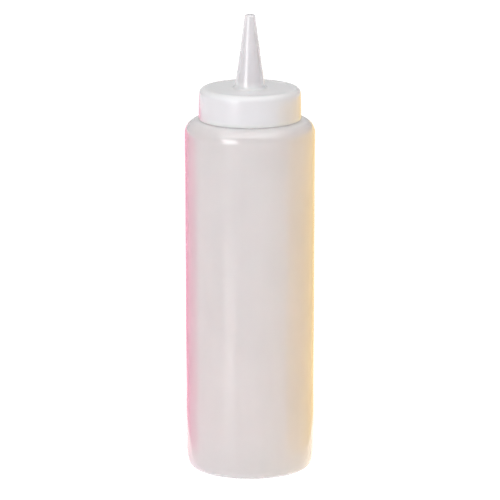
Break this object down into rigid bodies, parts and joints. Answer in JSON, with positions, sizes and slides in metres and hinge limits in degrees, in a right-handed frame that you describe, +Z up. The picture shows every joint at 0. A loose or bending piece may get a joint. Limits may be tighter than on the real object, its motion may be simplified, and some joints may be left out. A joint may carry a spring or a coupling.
{
  "type": "condiment squeeze bottle",
  "caption": "Translucent squeeze bottle for sauces: thin-walled round bottle, screw cap with a long pouring cone, and a seal ring on the neck's lip.",
  "frame": {"origin": "on the bottle's axis, in the plane of the standing ring", "axes": "+Z up along the bottle's axis towards the pouring tip; X and Y are alike on a round bottle"},
  "size_m": [0.0702, 0.0702, 0.2494],
  "materials": {
    "bottle_polyethylene": "satin",
    "cap_polyethylene": "satin",
    "seal_rubber": "matte"
  },
  "bodies": {
    "bottle": {"bottle": "bottle_polyethylene"},
    "seal": {"seal_ring": "seal_rubber"},
    "cap": {"nozzle_cap": "cap_polyethylene"}
  },
  "joints": [
    {"name": "cap_lift", "type": "slide", "parent": "bottle", "child": "seal", "axis": [0, 0, 1], "range_m": [0, 0.0213]},
    {"name": "cap_turn", "type": "hinge", "parent": "seal", "child": "cap", "pos_m": [0, 0, 0.2], "axis": [0, 0, 1], "range_deg": [0, 1800]}
  ],
  "couplings": [
    {"joint": "cap_lift", "follows": "cap_turn", "m_per_rad": 0.00067376}
  ]
}
